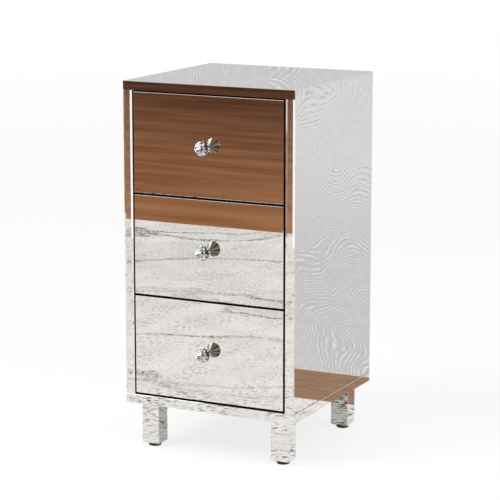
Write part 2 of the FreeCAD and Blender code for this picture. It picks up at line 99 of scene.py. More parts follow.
# %% Helpers that add nodes
def fill_socket(socket, value):
    if isinstance(value, bpy.types.NodeSocket):
        socket.id_data.links.new(value, socket)
    elif socket.type == "RGBA":
        socket.default_value = (*value, 1.0)
    else:
        socket.default_value = value


def fill_sockets(node, **values):
    for name, value in values.items():
        fill_socket(node.inputs[name.replace("_", " ")], value)


def put_node(tree, kind, values=None, **options):
    made = tree.nodes.new(kind)
    for name, option in options.items():
        setattr(made, name, option)
    for name, value in (values or {}).items():
        fill_socket(made.inputs[name], value)
    return made


def follow(kind, values, **options):
    """Add a node to the net that its first linked value comes from."""
    tree = next(value.id_data for value in values.values() if isinstance(value, bpy.types.NodeSocket))
    return put_node(tree, kind, values, **options)


def feed(kind, values, **options):
    return follow(kind, values, **options).outputs[0]


print("node helpers ready")

# %% Helpers for sums
def calc(operation, *values):
    return feed("ShaderNodeMath", dict(enumerate(values)), operation=operation)


def times(first, *others):
    for other in others:
        first = calc("MULTIPLY", first, other)
    return first


plus = partial(calc, "ADD")
minus = partial(calc, "SUBTRACT")
above = partial(calc, "GREATER_THAN")
below = partial(calc, "LESS_THAN")


def vector_calc(operation, first, second):
    return feed("ShaderNodeVectorMath", {0: first, 1: second}, operation=operation)


def dot(first, second):
    return follow("ShaderNodeVectorMath", {0: first, 1: second}, operation="DOT_PRODUCT").outputs["Value"]


def length_of(vector):
    return follow("ShaderNodeVectorMath", {0: vector}, operation="LENGTH").outputs["Value"]


def parts(vector):
    return follow("ShaderNodeSeparateXYZ", {"Vector": vector}).outputs


print("sums ready")

# %% Helpers for ranges, mixes and noise
def stretch(value, reads, gives=(0.0, 1.0), kind="SMOOTHSTEP"):
    """Turn the range that a value reads into the range that it should give."""
    ends = zip(("Value", "From Min", "From Max", "To Min", "To Max"), (value, *reads, *gives))
    return feed("ShaderNodeMapRange", dict(ends), interpolation_type=kind)


def mix_colours(share, first, second):
    return follow("ShaderNodeMix", {0: share, 6: first, 7: second}, data_type="RGBA").outputs[2]


def mix_values(share, first, second):
    return feed("ShaderNodeMix", {0: share, 2: first, 3: second}, data_type="FLOAT")


def scaled_place(place, scale):
    return feed("ShaderNodeMapping", {"Vector": place, "Scale": scale})


def noise(place, scale, detail=2.0, swirl=0.0):
    values = {"Vector": place, "Scale": scale, "Detail": detail, "Distortion": swirl}
    return feed("ShaderNodeTexNoise", values)


white = (1.0, 1.0, 1.0)
print("ranges, mixes and noise ready")

# %% [markdown]
# ## The studio
# The chest stands on a plain pale floor in soft light from all round, with one large lamp in front on the
# left and a weaker one on the right. The air of the studio is a pale world light. Rays that go straight to
# the camera, or off metal and through glass, see that air as plain white, and all other rays get a calmer
# level, so that a colour renders about as it is written.

# %% Light the studio
def seen_rays(tree):
    """One for a ray that the viewer sees, straight, off metal or through glass, and zero for other light."""
    ray = put_node(tree, "ShaderNodeLightPath").outputs
    straight_or_metal = calc("MAXIMUM", ray["Is Camera Ray"], ray["Is Glossy Ray"])
    return calc("MAXIMUM", straight_or_metal, ray["Is Transmission Ray"])


air_level = 0.62
white_level = 1.0
world = bpy.data.worlds.new("studio_air")
world.use_nodes = True
air_strength = mix_values(seen_rays(world.node_tree), air_level, white_level)
fill_sockets(world.node_tree.nodes["Background"], Color=white, Strength=air_strength)
bpy.context.scene.world = world
bpy.context.scene.view_settings.view_transform = "Standard"


def soft_lamp(name, place, aim, width, watts):
    """A large square lamp that lights the chest but doesn't show in its mirrors."""
    data = bpy.data.lights.new(name, "AREA")
    data.shape = "SQUARE"
    data.size = width
    data.energy = watts
    lamp = put_in_scene(name, data)
    lamp.location = place
    lamp.rotation_euler = (Vector(place) - Vector(aim)).to_track_quat("Z", "Y").to_euler()
    lamp.visible_glossy = False
    lamp.visible_camera = False


soft_lamp("left_lamp", place=(-2.4, -2.8, 3.4), aim=(0.0, 0.0, 0.4), width=2.4, watts=150.0)
soft_lamp("right_lamp", place=(3.2, -1.4, 2.6), aim=(0.0, 0.0, 0.4), width=2.0, watts=70.0)
print("studio light: air", air_level, "and two soft lamps")

# %% [markdown]
# ## The floor
# The floor is one wide pale sheet. A floor of one number looks like cut-out paper, so a faint mottle is
# mixed in. Where the viewer sees it, it also glows a little, so that it reads as white paper and still
# keeps the soft shadow of the chest. Far off it fades to plain white, so no line shows where it ends.

# %% Lay the floor
def start_finish(name, **constants):
    """A new material with its constant sockets set, its shader, and the place on the piece in metres."""
    material = bpy.data.materials.new(name)
    material.use_nodes = True
    shader = material.node_tree.nodes["Principled BSDF"]
    fill_sockets(shader, **constants)
    place = put_node(material.node_tree, "ShaderNodeTexCoord").outputs["Object"]
    return material, shader, place


def show_surface(result):
    fill_socket(result.id_data.nodes["Material Output"].inputs["Surface"], result)


def flat_sheet(name, corners, material, height=None):
    """A sheet with its corners in space, or on the floor and lifted to a height."""
    if height is not None:
        corners = [(*corner, height) for corner in corners]
    mesh = bpy.data.meshes.new(name)
    mesh.from_pydata(corners, [], [tuple(range(len(corners)))])
    mesh.materials.append(material)
    sheet = put_in_scene(name, mesh)
    return sheet


floor_reach = 40.0
floor_glow = 0.80
floor_fade = (1.5, 9.0)
floor_finish, shader, place = start_finish("pale_floor", Roughness=0.9)
floor_mottle = noise(place, 3.0, detail=3.0)
fill_sockets(shader, Base_Color=mix_colours(floor_mottle, (0.93, 0.93, 0.925), (0.95, 0.95, 0.945)))
paper = put_node(shader.id_data, "ShaderNodeEmission", {"Color": white, "Strength": white_level})
paper_share = times(seen_rays(shader.id_data), stretch(length_of(place), floor_fade, (floor_glow, 1.0)))
floor_mix = follow("ShaderNodeMixShader", {0: paper_share, 1: shader.outputs[0], 2: paper.outputs[0]})
show_surface(floor_mix.outputs[0])
floor_corners = [(across * floor_reach, back * floor_reach) for across, back in
                 ((-1.0, -1.0), (1.0, -1.0), (1.0, 1.0), (-1.0, 1.0))]
flat_sheet("pale_floor", floor_corners, floor_finish, height=0.0)
print("floor", 2 * floor_reach, "m wide")

# %% [markdown]
# ## Cards for the mirrors to show
# A mirror has no look of its own: it shows what stands round it, so photographers put cards out of the
# picture for it to find. Here cards lie on the floor, pale with flecks and veins near the chest and timber-
# brown further off, and the card under the chest is darker, the chest's painted shadow on the floor. One
# stands behind, pale, with flowing lines painted lighter and darker beside each other, a painted shading as
# if in low relief. A dim ceiling and a bright soft box give the knobs dark and light facets, and two rings
# of cards with dark strips make the crystal sparkle. Only rays off metal or through glass see the cards, so
# the floor in the picture stays plain. Where most bevels look, the cards leave the white floor open, so
# those bevels show as bright lines.

# %% Helpers for the cards
def start_card(name):
    """A card gives off its own colour, so that the mirrors show it as written."""
    material = bpy.data.materials.new(name)
    material.use_nodes = True
    material.cycles.emission_sampling = "NONE"
    tree = material.node_tree
    tree.nodes.remove(tree.nodes["Principled BSDF"])
    glow = put_node(tree, "ShaderNodeEmission")
    show_surface(glow.outputs["Emission"])
    return material, glow, put_node(tree, "ShaderNodeTexCoord").outputs["Object"]


def hide_card(card, off_metal=True, through_glass=True):
    for ray in ("camera", "diffuse", "shadow", "volume_scatter"):
        setattr(card, "visible_" + ray, False)
    card.visible_glossy = off_metal
    card.visible_transmission = through_glass


print("cards are seen only by glossy and transmitted rays")

# %% Flecks and veins
def flecked(place, light, dark, reads):
    """A light tone with short dark flecks in patches; reads says how much of the noise is fleck."""
    grains = noise(scaled_place(place, (0.6, 1.0, 1.0)), 55.0, detail=3.0)
    patches = stretch(noise(place, 4.0), (0.38, 0.62), (0.25, 1.0))
    return mix_colours(times(stretch(grains, reads), patches), light, dark)


def vein_lines(place, slope, waver):
    """Long thin lines at every whole step up a slope, pushed about by a slow noise."""
    push = times(noise(place, 1.3, detail=5.0), waver)
    from_line = calc("PINGPONG", plus(dot(place, slope), push), 0.5)
    return stretch(from_line, (0.04, 0.01))


print("flecks and veins ready")

# %% Tones of the floor cards
timber_start_y = -2.606
timber_end_y = -6.5
floor_card, glow, place = start_card("floor_card")
x, y, z = parts(place)
planks = stretch(noise(scaled_place(place, (0.8, 4.5, 1.0)), 1.6, detail=4.0, swirl=0.3), (0.27, 0.73))
timber_near = mix_colours(planks, (0.25, 0.105, 0.045), (0.40, 0.183, 0.088))
timber_far = mix_colours(planks, (0.052, 0.019, 0.011), (0.105, 0.043, 0.027))
timber_depth = stretch(y, (timber_end_y, timber_start_y), (1.0, 0.0), kind="LINEAR")
timber = mix_colours(timber_depth, timber_near, timber_far)
strip_grain = stretch(noise(scaled_place(place, (1.0, 14.0, 1.0)), 9.0, detail=4.0), (0.3, 0.7))
timber_strip = mix_colours(strip_grain, (0.285, 0.16, 0.10), (0.40, 0.243, 0.163))

pale_cloud = stretch(noise(place, 5.0, detail=6.0, swirl=1.0), (0.3, 0.7))
pale = mix_colours(pale_cloud, (0.74, 0.715, 0.685), (0.88, 0.85, 0.815))
pale_lift = stretch(y, (-1.9, -0.9), (0.0, 0.38))
pale = mix_colours(pale_lift, pale, (0.96, 0.93, 0.895))
fine_place = scaled_place(place, (3.4, 1.1, 1.0))
pale_far = flecked(fine_place, pale, (0.50, 0.48, 0.45), (0.44, 0.68))
veins = calc("MAXIMUM", vein_lines(place, (0.89, 1.79, 0.0), 1.2), vein_lines(place, (0.2, 1.05, 0.0), 1.6))
vein_grains = stretch(noise(fine_place, 40.0, detail=3.0), (0.40, 0.60), (0.15, 1.0))
vein_stay = stretch(noise(place, 2.2), (0.35, 0.6), (0.3, 1.0))
pale_far = mix_colours(times(veins, vein_grains, vein_stay), pale_far, (0.22, 0.205, 0.18))
dappled = (2.0, 1.3, 1.0)
pale_near = flecked(scaled_place(place, dappled), pale, (0.13, 0.125, 0.11), (0.47, 0.66))
near_legs = times(stretch(y, (-0.75, -0.55)), stretch(x, (0.30, 0.22)))
pale = mix_colours(near_legs, pale_far, pale_near)
print("floor tones: timber from y", timber_start_y, "to", timber_end_y)

# %% [markdown]
# ## Where each tone lies
# Timber covers the floor beyond a line in front of the chest, and a strip beside the card behind. A bevel
# looks at the floor along a line of its own, off to one side of what the flat panes see, so the slant of a
# point tells which bevel sees it. The bevel beside the drawers on the right gets a quiet tan band that
# turns lighter at its far end.

# %% Lay the cards on the floor
slant_slope = 1.687
band_slants = (0.3, 1.0)
band_start_x = -2.0
band_end_x = -4.1
band_timber_share = 0.85
tan_ramp = 0.1
light_ramp = 0.3
timber_left_x = -2.8
timber_right_x = 0.9
timber_strip_y = 0.35
card_step_y = -0.4
slant = minus(x, times(y, slant_slope))
in_front = times(below(y, timber_start_y), above(slant, band_slants[1]))
far_left = times(below(x, timber_left_x), below(slant, band_slants[0]))
in_band = times(above(slant, band_slants[0]), below(slant, band_slants[1]))
tan_band = times(in_band, stretch(x, (band_start_x, band_start_x - tan_ramp), (0.0, band_timber_share)))
light_band = times(in_band, stretch(x, (band_end_x, band_end_x - light_ramp)))
timber_share = calc("MAXIMUM", calc("MAXIMUM", in_front, far_left), tan_band)
behind_right = times(above(y, timber_strip_y), above(x, 0.0))
off_right = times(above(x, timber_right_x), above(y, card_step_y))
floor_tone = mix_colours(timber_share, pale, timber)
floor_tone = mix_colours(calc("MAXIMUM", behind_right, off_right), floor_tone, timber_strip)
fill_sockets(glow, Color=mix_colours(light_band, floor_tone, (0.62, 0.53, 0.48)))

# The card under the chest is the chest's painted shadow on the floor, darker and flecked, for the mirrors on
# the legs to show.
shade_card, glow, place = start_card("shade_card")
shade_tones = ((0.50, 0.485, 0.455), (0.06, 0.057, 0.05))
fill_sockets(glow, Color=flecked(scaled_place(place, dappled), *shade_tones, (0.42, 0.60)))

painted_relief_card_y = 0.5975
card_lift = 0.0004
floor_cards = {
    "front_card": [(-9.0, -0.16), (-9.0, -8.0), (-2.2, -8.0), (-1.1, -4.5), (-0.5, timber_start_y),
                   (3.0, timber_start_y), (3.0, card_step_y), (0.18, card_step_y), (0.18, -0.16)],
    "far_right_card": [(0.93, timber_start_y), (2.55, -8.0), (9.0, -8.0), (9.0, timber_start_y)],
    "left_card": [(-9.0, 0.9), (-9.0, -0.16), (-0.19, -0.16), (-0.19, 0.9)],
    "right_card": [(0.18, card_step_y), (6.0, card_step_y), (6.0, painted_relief_card_y), (0.18, painted_relief_card_y)],
    "under_shadow_card": [(-0.19, -0.16), (0.18, -0.16), (0.18, 0.22), (-0.19, 0.22)],
}
for name, corners in floor_cards.items():
    material = shade_card if name == "under_shadow_card" else floor_card
    hide_card(flat_sheet(name, corners, material, height=card_lift))
print("floor cards:", len(floor_cards))

# %% The card behind
painted_relief_card, glow, place = start_card("painted_relief_card")
lines_per_metre = 138.0
patches_per_metre = 4.6
waver_reach = 7.0
relief_half_width = 2.4
relief_height = 1.3


def swing(value, reach):
    """Turn a random colour from zero to one into a push to either side."""
    return vector_calc("MULTIPLY", vector_calc("SUBTRACT", value, (0.5, 0.5, 0.5)), reach)


drift = follow("ShaderNodeTexNoise", {"Vector": place, "Scale": 5.0, "Detail": 1.0}).outputs["Color"]
drifted = vector_calc("ADD", place, swing(drift, (0.20, 0.0, 0.20)))
patches = follow("ShaderNodeTexVoronoi", {"Vector": drifted, "Scale": patches_per_metre}).outputs
centre = vector_calc("ADD", patches["Position"], swing(patches["Color"], (1.5, 0.0, 0.55)))
off_centre = vector_calc("MULTIPLY", vector_calc("SUBTRACT", drifted, centre), (1.0, 0.0, 1.0))
waver = times(noise(place, 28.0), waver_reach)
painted_ridges = calc("SINE", plus(times(length_of(off_centre), 2.0 * math.pi * lines_per_metre), waver))
strength = stretch(noise(place, 60.0, detail=3.0), (0.36, 0.64))
# The card is flat: beside each ridge line, a painted highlight and a painted shade make the lines look as if
# in low relief.
painted_ridge_light = times(stretch(painted_ridges, (0.25, 1.0)), strength)
painted_ridge_shade = times(stretch(painted_ridges, (-0.35, -1.0)), strength)
height = parts(place)["Z"]
lift = times(stretch(height, (0.25, 0.60)), stretch(height, (0.84, 0.72)))
painted_relief_tone = mix_colours(lift, (0.615, 0.60, 0.592), (0.73, 0.72, 0.708))
painted_relief_tone = mix_colours(painted_ridge_light, painted_relief_tone, (0.81, 0.798, 0.785))
fill_sockets(glow, Color=mix_colours(painted_ridge_shade, painted_relief_tone, (0.53, 0.522, 0.51)))
relief_corners = [(across * relief_half_width, painted_relief_card_y, up * relief_height) for across, up in
                  ((-1.0, 0.0), (1.0, 0.0), (1.0, 1.0), (-1.0, 1.0))]
hide_card(flat_sheet("painted_relief_card", relief_corners, painted_relief_card))
print("relief card at y", painted_relief_card_y, "with", lines_per_metre, "lines to the metre")

# %% The cards for the knobs
ceiling_height = 3.0
ceiling_card, glow, place = start_card("ceiling_card")
fill_sockets(glow, Color=mix_colours(noise(place, 1.2), (0.58, 0.56, 0.525), (0.71, 0.69, 0.655)))
ceiling_corners = [(-3.0, -1.3), (5.0, -1.3), (5.0, 4.0), (-3.0, 4.0)]
ceiling = flat_sheet("ceiling_card", ceiling_corners, ceiling_card, height=ceiling_height)
hide_card(ceiling, through_glass=False)

soft_box_level = 4.0
soft_box, glow, place = start_card("soft_box")
box_fade = stretch(noise(place, 2.0, detail=1.0), (0.3, 0.7), (0.85, 1.0))
fill_sockets(glow, Strength=soft_box_level, Color=mix_colours(box_fade, (0.8, 0.8, 0.8), white))
soft_box_corners = [(-2.6, -0.4, 1.2), (-2.2, -1.9, 1.2), (-1.3, -1.7, 2.9), (-1.7, -0.2, 2.9)]
hide_card(flat_sheet("soft_box", soft_box_corners, soft_box), through_glass=False)

slit_count = 14.0
slit_card, glow, place = start_card("slit_card")
x, y, z = parts(place)
slit = calc("SINE", times(calc("ARCTAN2", y, x), slit_count))
fill_sockets(glow, Color=mix_colours(stretch(slit, (-0.35, -0.2)), (0.006, 0.006, 0.007), white))
slit_sides = 12
slit_reach = 5.0
slit_height = 5.0
slit_start = 0.4
slit_rings = {"slit_wall": ((slit_reach, 0.0), (slit_reach, slit_height)),
              "slit_floor": ((slit_start, card_lift), (slit_reach, card_lift))}
for name, ends in slit_rings.items():
    for side in range(slit_sides):
        first, last = [2.0 * math.pi * (side + step) / slit_sides for step in (0, 1)]
        corners = [(reach * math.cos(turn), reach * math.sin(turn), height)
                   for (reach, height), turn in zip(ends + ends[::-1], (first, first, last, last))]
        hide_card(flat_sheet("%s_%d" % (name, side), corners, slit_card), off_metal=False)
print("ceiling at", ceiling_height, "m, and", len(slit_rings), "rings of slit cards")

# %% [markdown]
# ## Effects that several finishes share
# Dust settles on whatever faces up, hands leave smudges on whatever is polished, edges wear on whatever is
# painted, and wood has grain whichever board it is. Each of these is a node group, built once with named
# sockets, and each finish places it with values of its own.

# %% Helpers for shared effects
def start_effect(name, takes, gives):
    """A shader node group with named inputs, vectors where no value is given, and named value outputs."""
    group = bpy.data.node_groups.new(name, "ShaderNodeTree")
    for label, value in takes.items():
        kind = "NodeSocketVector" if value is None else "NodeSocketFloat"
        socket = group.interface.new_socket(label, in_out="INPUT", socket_type=kind)
        if value is not None:
            socket.default_value = value
    for label in gives:
        group.interface.new_socket(label, in_out="OUTPUT", socket_type="NodeSocketFloat")
    return group, put_node(group, "NodeGroupInput").outputs, put_node(group, "NodeGroupOutput")


def use_effect(place, group, **values):
    placed = put_node(place.id_data, "ShaderNodeGroup", node_tree=group)
    fill_sockets(placed, **values)
    return placed.outputs


def mask(group, place, **values):
    return use_effect(place, group, Place=place, **values)["Mask"]


def surface_normal(tree, kind):
    return put_node(tree, "ShaderNodeNewGeometry").outputs[kind]


print("effects helpers ready")

# %% Smudges, dust and worn edges
smudges, takes, gives = start_effect("hand_smudges", {"Place": None, "Size": 14.0}, ["Mask"])
cloud = stretch(noise(takes["Place"], takes["Size"], swirl=1.4), (0.50, 0.74))
wipe_place = scaled_place(takes["Place"], (30.0, 30.0, 4.0))
wipe = stretch(noise(wipe_place, takes["Size"], detail=3.0), (0.35, 0.75))
fill_sockets(gives, Mask=times(cloud, wipe))

dust, takes, gives = start_effect("settled_dust", {"Place": None, "Size": 300.0, "Amount": 0.5}, ["Mask"])
upward = stretch(parts(surface_normal(dust, "Normal"))["Z"], (0.2, 0.95))
specks = stretch(noise(takes["Place"], takes["Size"], detail=4.0), (0.40, 0.75))
fill_sockets(gives, Mask=times(upward, takes["Amount"], specks))

edge_wear, takes, gives = start_effect(
    "edge_wear", {"Place": None, "Width": 0.001, "Breakup": 90.0, "Amount": 1.0}, ["Mask"])
round_normal = feed("ShaderNodeBevel", {"Radius": takes["Width"]}, samples=6)
bend = dot(surface_normal(edge_wear, "True Normal"), round_normal)
near_edge = times(stretch(bend, (0.99, 0.80)), takes["Amount"])
chips = stretch(noise(takes["Place"], takes["Breakup"], detail=4.0), (0.42, 0.62))
fill_sockets(gives, Mask=times(near_edge, chips))
print("effects:", smudges.name, dust.name, edge_wear.name)

# %% Grain and pane edges
grain, takes, gives = start_effect(
    "board_grain", {"Along": None, "Rings": 24.0, "Fibres": 420.0}, ["Rings", "Fibres"])
bow = noise(scaled_place(takes["Along"], (0.10, 1.0, 1.0)), takes["Rings"], detail=3.0, swirl=0.6)
rings_in_bow = 52.0
thread = noise(scaled_place(takes["Along"], (0.035, 1.0, 1.0)), takes["Fibres"], detail=3.0)
fill_sockets(gives, Rings=stretch(calc("SINE", times(bow, rings_in_bow)), (-0.9, 1.0)),
             Fibres=stretch(thread, (0.30, 0.72)))

pane_edge, takes, gives = start_effect("pane_edge", {"Face Axis": None}, ["Mask"])
pane_normal = surface_normal(pane_edge, "True Normal")
normal_sizes = feed("ShaderNodeVectorMath", {0: pane_normal}, operation="ABSOLUTE")
face_share = 0.6
fill_sockets(gives, Mask=below(dot(normal_sizes, takes["Face Axis"]), face_share))
print("effects:", grain.name, pane_edge.name)

# %% [markdown]
# ## Mirror glass
# Each pane is float glass with silver behind it and a narrow ground bevel round its edge. Clear glass over
# a metal sheet would give two reflections a hair apart and cost many rays. A smooth metal with a cool
# silver tint looks the same. The bevels are in the pane's own shape, so they catch other parts of the
# studio by themselves. The cut edges of the panes in front are dull and near black: partly the dark green
# of thick glass seen from the side, partly painted shade for the gaps round the drawers. Those at the
# corners of the case and on the other panes are polished. On the sides, the seam above the base has a
# frosted edge below it and a painted shade line above it, for the shade in the seam. Hands leave a little
# haze, and the narrow strips beside the drawers have a faint warm veil.

# %% Mirror finishes
MM = 0.001
case_corner_x = 0.1985
polished_cut = (0.89, 0.90, 0.893)
# Near black for the cut edges of the front panes and the line above the side seam: the dark green of thick
# glass, and painted shade for the gaps between parts.
gap_shade_cut = (0.03, 0.038, 0.034)
frosted_tone = (0.70, 0.71, 0.70)
warm_silver = (1.0, 0.91, 0.78)
frosted_width = 1.2 * MM
seam_shade_width = 1.6 * MM
base_seam_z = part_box("base_right_mirror")[1].z


def mirror_finish(name, face_axis, cut_tone, veil=0.0, warmth=0.0, seam=False):
    material, shader, place = start_finish(name)
    x, y, z = parts(place)
    metal = 1.0 - veil
    cut = use_effect(place, pane_edge, Face_Axis=face_axis)["Mask"]
    at_corner = above(calc("ABSOLUTE", x), case_corner_x)
    silver = mix_colours(noise(place, 2.5, detail=1.0), (0.905, 0.91, 0.905), (0.935, 0.937, 0.932))
    silver = mix_colours(warmth, silver, warm_silver)
    tone = mix_colours(cut, silver, mix_colours(at_corner, cut_tone, polished_cut))
    if seam:
        rise = minus(z, base_seam_z)
        frosted = times(below(calc("ABSOLUTE", rise), frosted_width), below(rise, 0.0))
        # Just above the seam on the sides, a painted shade line for the shade in the seam.
        seam_shade = times(above(rise, 0.0), below(rise, seam_shade_width))
        tone = mix_colours(seam_shade, mix_colours(frosted, tone, frosted_tone), gap_shade_cut)
        metal = minus(1.0, frosted)
    haze = mask(smudges, place, Size=9.0)
    gloss = stretch(haze, (0.0, 1.0), (0.004, 0.05), kind="LINEAR")
    fill_sockets(shader, Base_Color=tone, Metallic=metal, Roughness=mix_values(cut, gloss, 0.03))
    return material


mirrors = {
    "across": mirror_finish("mirror_glass_front", (0.0, 1.0, 0.0), gap_shade_cut),
    "stile": mirror_finish("mirror_glass_stile", (0.0, 1.0, 0.0), gap_shade_cut, veil=0.04, warmth=0.25),
    "side": mirror_finish("mirror_glass_side", (1.0, 0.0, 0.0), polished_cut, seam=True),
    "flat": mirror_finish("mirror_glass_top", (0.0, 0.0, 1.0), polished_cut),
    "leg": mirror_finish("mirror_glass_leg", (1.0, 1.0, 0.0), polished_cut),
}
print("mirror finishes:", len(mirrors))

# %% [markdown]
# ## Painted boards and the back
# The case is fibreboard under satin black paint: that is why the gaps round the drawers look black. Paint
# from a roller has a fine pebble, and at sharp edges it wears through to the brown board. The back is thin
# hardboard with a flat black-brown coat, a screen pattern pressed into it and a few pale fibres. Both keep
# some dust where they face up.

# %% Black board
def bump(height, depth):
    return feed("ShaderNodeBump", {"Height": height, "Distance": depth, "Strength": 1.0})


black_board, shader, place = start_finish("black_board")
worn = mask(edge_wear, place, Width=1.2 * MM, Breakup=70.0, Amount=0.7)
settled = mask(dust, place, Size=420.0, Amount=0.25)
patch = noise(place, 6.0, detail=3.0)
paint = mix_colours(patch, (0.013, 0.0125, 0.0125), (0.023, 0.022, 0.022))
paint = mix_colours(worn, paint, (0.105, 0.07, 0.045))
sheen = stretch(patch, (0.3, 0.7), (0.34, 0.48))
fill_sockets(shader, Base_Color=mix_colours(settled, paint, (0.20, 0.19, 0.18)),
             Roughness=mix_values(worn, sheen, 0.8),
             Normal=bump(noise(place, 950.0, detail=1.0), 0.06 * MM))
print("board:", black_board.name)

# %% Hardboard
back_board, shader, place = start_finish("back_board")
settled = mask(dust, place, Size=350.0, Amount=0.3)
cloud = noise(place, 11.0, detail=5.0)
strands = noise(scaled_place(place, (1.0, 1.0, 0.22)), 260.0, detail=3.0, swirl=2.0)
coat = mix_colours(cloud, (0.026, 0.022, 0.019), (0.048, 0.041, 0.036))
coat = mix_colours(stretch(strands, (0.66, 0.78)), coat, (0.12, 0.095, 0.07))
screen_pitch = 2.2 * MM
wire_x, wire_z = [calc("SINE", times(parts(place)[axis], 2.0 * math.pi / screen_pitch)) for axis in "XZ"]
fill_sockets(shader, Base_Color=mix_colours(settled, coat, (0.22, 0.21, 0.19)),
             Roughness=stretch(cloud, (0.3, 0.7), (0.60, 0.78)),
             Normal=bump(times(wire_x, wire_z), 0.08 * MM))
print("back:", back_board.name)

# %% [markdown]
# ## Drawer boxes and softwood
# The drawer boxes are clear-lacquered birch, and the dowels and leg cores are plain softwood. Grain runs
# along a board, so on a box it has to turn at each corner: the two side walls run front to back and the
# others left to right. The finish finds the side walls by their distance from the middle, swaps two axes
# there, and hands the turned place to the shared grain.

# %% Wood finishes
fibre_share = 0.45
lacquer_on_fibres = 0.6


def wood_finish(name, tones, rings, lacquer, turned_beyond=1.0, upright=False):
    """Grain runs left to right, beyond a distance from the middle front to back, or else upright."""
    material, shader, place = start_finish(name, Coat_Roughness=0.25)
    x, y, z = parts(place)
    if upright:
        axes = {"X": z, "Y": x, "Z": y}
    else:
        aside = above(calc("ABSOLUTE", x), turned_beyond)
        axes = {"X": mix_values(aside, x, y), "Y": mix_values(aside, y, x), "Z": z}
    along = feed("ShaderNodeCombineXYZ", axes)
    wood = use_effect(place, grain, Along=along, Rings=rings)
    worn = mask(edge_wear, place, Width=0.8 * MM, Breakup=60.0, Amount=0.5)
    settled = mask(dust, place, Size=500.0, Amount=0.12)
    early, late, fibre, rubbed = tones
    tone = mix_colours(wood["Rings"], early, late)
    tone = mix_colours(times(wood["Fibres"], fibre_share), tone, fibre)
    tone = mix_colours(worn, tone, rubbed)
    fill_sockets(shader, Base_Color=mix_colours(settled, tone, (0.45, 0.43, 0.40)),
                 Roughness=stretch(wood["Fibres"], (0.0, 1.0), (0.38, 0.55)),
                 Coat_Weight=mix_values(wood["Fibres"], lacquer, lacquer * lacquer_on_fibres),
                 Normal=bump(wood["Fibres"], 0.05 * MM))
    return material


birch_tones = ((0.69, 0.53, 0.345), (0.60, 0.435, 0.265), (0.50, 0.34, 0.195), (0.72, 0.58, 0.41))
pine_tones = ((0.66, 0.50, 0.31), (0.52, 0.345, 0.18), (0.45, 0.29, 0.15), (0.68, 0.54, 0.36))
box_wall_x = 0.1541
birch_box = wood_finish("birch_box", birch_tones, rings=20.0, lacquer=0.35, turned_beyond=box_wall_x)
birch_bottom = wood_finish("birch_bottom", birch_tones, rings=9.0, lacquer=0.30)
pine = wood_finish("pine_core", pine_tones, rings=30.0, lacquer=0.05, upright=True)
print("woods:", birch_box.name, birch_bottom.name, pine.name)

# %% [markdown]
# ## Metals
# The slides and screws are bright zinc plate: a cool grey metal with a faint spangle, a breath of yellow
# and blue, and fine scratches along the way that the slides run. The knob cups are smoked nickel, dark,
# warm and much smoother. A cup has sixteen narrow flat sides, and a black line is painted along every
# second edge, found by the angle round the knob: a painted dark reflection at each fold. The inside of a
# cup is bright between painted dark lines, so that it throws light back through the crystal in flashes.

# %% Zinc
spangle_share = 0.25
scratch_roughness = 0.12
zinc, shader, place = start_finish("zinc_steel", Metallic=1.0)
cells = follow("ShaderNodeTexVoronoi", {"Vector": place, "Scale": 260.0}).outputs["Color"]
spangle = feed("ShaderNodeSeparateColor", {"Color": cells})
scratch = stretch(noise(scaled_place(place, (1.0, 0.02, 1.0)), 1500.0, detail=3.0), (0.52, 0.74))
worn = mask(edge_wear, place, Width=0.4 * MM, Breakup=120.0, Amount=0.6)
plate = mix_colours(noise(place, 24.0), (0.62, 0.64, 0.68), (0.69, 0.68, 0.65))
plate = mix_colours(times(spangle, spangle_share), plate, (0.54, 0.56, 0.60))
sheen = stretch(spangle, (0.0, 1.0), (0.26, 0.36))
fill_sockets(shader, Base_Color=mix_colours(worn, plate, (0.80, 0.80, 0.80)),
             Roughness=plus(sheen, times(scratch, scratch_roughness)),
             Normal=bump(scratch, 0.01 * MM))
print("zinc:", zinc.name)

# %% Nickel
cup_sides = 16
knob_low_z = sum(corner.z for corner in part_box("bottom_knob_cup")) / 2.0
knob_pitch = sum(corner.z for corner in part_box("middle_knob_cup")) / 2.0 - knob_low_z
painted_fold_lines_reach = (0.34, 0.16)
inner_line_reach = (0.14, 0.2)
inside_lean = -0.05
nickel, shader, place = start_finish("smoked_nickel", Metallic=1.0)
haze = mask(smudges, place, Size=60.0)
plate = mix_colours(noise(place, 70.0), (0.205, 0.182, 0.141), (0.275, 0.245, 0.191))
plate = mix_colours(haze, plate, (0.18, 0.165, 0.14))
x, y, z = parts(place)
knobs_up = calc("DIVIDE", minus(z, knob_low_z), knob_pitch)
above_knob = times(minus(knobs_up, calc("ROUND", knobs_up)), knob_pitch)
sides_round = calc("DIVIDE", calc("ARCTAN2", above_knob, x), 2.0 * math.pi / cup_sides)
# Every second edge of the cup gets a black line: a painted dark reflection at the fold.
painted_fold_lines = stretch(calc("PINGPONG", sides_round, 1.0), painted_fold_lines_reach)
plate = mix_colours(painted_fold_lines, plate, (0.022, 0.019, 0.015))
# Inside the cup, painted dark lines between bright flats stand in for dark reflections seen through the
# crystal.
inner_flat = stretch(calc("PINGPONG", sides_round, 0.5), inner_line_reach)
inner = mix_colours(inner_flat, (0.02, 0.02, 0.02), (0.94, 0.94, 0.935))
inside = below(parts(surface_normal(shader.id_data, "True Normal"))["Y"], inside_lean)
fill_sockets(shader, Base_Color=mix_colours(inside, plate, inner),
             Roughness=stretch(haze, (0.0, 1.0), (0.05, 0.20), kind="LINEAR"))
print("nickel:", nickel.name, "with", cup_sides, "sides round a cup")

# %% [markdown]
# ## Crystal and black plastic
# The knob heads are cut crystal, clear and heavy, so light bends more in them than in window glass. Their
# sparkle comes from the facets, not from paint. The feet are moulded black plastic with the fine skin that
# a mould leaves.

